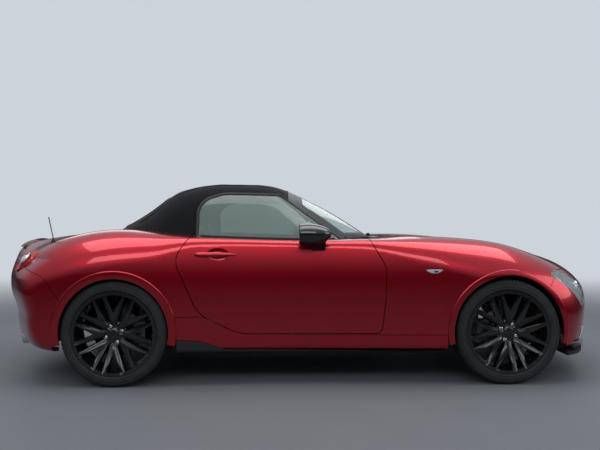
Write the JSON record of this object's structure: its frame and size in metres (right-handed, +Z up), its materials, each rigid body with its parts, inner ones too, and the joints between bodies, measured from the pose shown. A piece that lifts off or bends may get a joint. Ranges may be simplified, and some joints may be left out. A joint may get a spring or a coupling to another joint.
{
  "type": "convertible car",
  "caption": "Two-seat roadster with a fabric soft top, opening doors, bonnet and boot lid, steered front wheels and rolling spoked wheels.",
  "frame": {"origin": "on the ground under the middle of the car's overall box", "axes": "+X to the nose, +Y to the car's left, +Z up"},
  "size_m": [3.9045, 1.92, 1.2236],
  "materials": {
    "body_paint": "gloss",
    "black_gloss": "gloss",
    "black_plastic": "matte",
    "lamp_glass": "clear",
    "tail_lens": "gloss",
    "window_glass": "tinted",
    "roof_cloth": "woven",
    "seat_cover": "woven",
    "wheel_black": "gloss",
    "tyre": "matte",
    "chassis_steel": "satin",
    "cast_metal": "cast",
    "exhaust_steel": "brushed"
  },
  "bodies": {
    "car": {"floor_pan": "chassis_steel", "front_frame": "chassis_steel", "boot_tub": "chassis_steel", "front_bumper": "body_paint", "front_splitter": "black_gloss", "grille": "black_plastic", "radiator": "cast_metal", "fenders": "body_paint", "cowl": "black_plastic", "windscreen_frame": "black_gloss", "windscreen": "window_glass", "rear_quarters": "body_paint", "side_sills": "body_paint", "side_skirts": "black_gloss", "rear_bumper": "body_paint", "rear_valance": "black_gloss", "tail_lamps": "tail_lens", "headlamp_lenses": "lamp_glass", "headlamp_housings": "black_plastic", "soft_top": "roof_cloth", "rear_window": "window_glass", "seats": "seat_cover", "dashboard": "black_plastic", "console": "black_plastic", "roll_hoops": "black_plastic", "aerial": "black_plastic", "front_suspension": "chassis_steel", "rear_suspension": "chassis_steel", "rear_uprights": "cast_metal", "engine_block": "cast_metal", "driveline": "cast_metal", "exhaust": "exhaust_steel", "wheel_liners": "black_plastic"},
    "bonnet": {"bonnet": "body_paint"},
    "boot_lid": {"boot_lid": "body_paint", "boot_lip": "black_gloss"},
    "door_right": {"door_r": "body_paint", "door_glass_r": "window_glass", "mirror_r": "black_gloss"},
    "door_left": {"door_l": "body_paint", "door_glass_l": "window_glass", "mirror_l": "black_gloss"},
    "knuckle_right": {"knuckle_r": "cast_metal"},
    "knuckle_left": {"knuckle_l": "cast_metal"},
    "wheel_front_right": {"wheel_fr": "wheel_black", "tyre_fr": "tyre"},
    "wheel_front_left": {"wheel_fl": "wheel_black", "tyre_fl": "tyre"},
    "wheel_rear_right": {"wheel_rr": "wheel_black", "tyre_rr": "tyre"},
    "wheel_rear_left": {"wheel_rl": "wheel_black", "tyre_rl": "tyre"},
    "steering_wheel": {"steering_wheel": "black_plastic"}
  },
  "joints": [
    {"name": "door_right_hinge", "type": "hinge", "parent": "car", "child": "door_right", "pos_m": [0.49, -0.849, 0.5], "axis": [0, 0, 1], "range_deg": [0, 62]},
    {"name": "door_left_hinge", "type": "hinge", "parent": "car", "child": "door_left", "pos_m": [0.49, 0.849, 0.5], "axis": [0, 0, -1], "range_deg": [0, 62]},
    {"name": "bonnet_hinge", "type": "hinge", "parent": "car", "child": "bonnet", "pos_m": [0.44, 0, 0.884], "axis": [0, -1, 0], "range_deg": [0, 50]},
    {"name": "boot_lid_hinge", "type": "hinge", "parent": "car", "child": "boot_lid", "pos_m": [-1.326, 0, 0.905], "axis": [0, 1, 0], "range_deg": [0, 70]},
    {"name": "steer_right", "type": "hinge", "parent": "car", "child": "knuckle_right", "pos_m": [1.2225, -0.7, 0.309], "axis": [0, 0, 1], "range_deg": [-32, 32]},
    {"name": "steer_left", "type": "hinge", "parent": "car", "child": "knuckle_left", "pos_m": [1.2225, 0.7, 0.309], "axis": [0, 0, 1], "range_deg": [-32, 32]},
    {"name": "steering_wheel_turn", "type": "hinge", "parent": "car", "child": "steering_wheel", "pos_m": [0.04, 0.365, 0.76], "axis": [-0.9135, 0, 0.4067], "range_deg": [-448, 448]},
    {"name": "wheel_spin_front_right", "type": "hinge", "parent": "knuckle_right", "child": "wheel_front_right", "pos_m": [1.2225, -0.7475, 0.309], "axis": [0, 1, 0], "continuous": true},
    {"name": "wheel_spin_front_left", "type": "hinge", "parent": "knuckle_left", "child": "wheel_front_left", "pos_m": [1.2225, 0.7475, 0.309], "axis": [0, 1, 0], "continuous": true},
    {"name": "wheel_spin_rear_right", "type": "hinge", "parent": "car", "child": "wheel_rear_right", "pos_m": [-1.0875, -0.7525, 0.309], "axis": [0, 1, 0], "continuous": true},
    {"name": "wheel_spin_rear_left", "type": "hinge", "parent": "car", "child": "wheel_rear_left", "pos_m": [-1.0875, 0.7525, 0.309], "axis": [0, 1, 0], "continuous": true}
  ],
  "couplings": [
    {"joint": "steer_left", "follows": "steer_right", "ratio": 1},
    {"joint": "steering_wheel_turn", "follows": "steer_right", "ratio": 14}
  ]
}
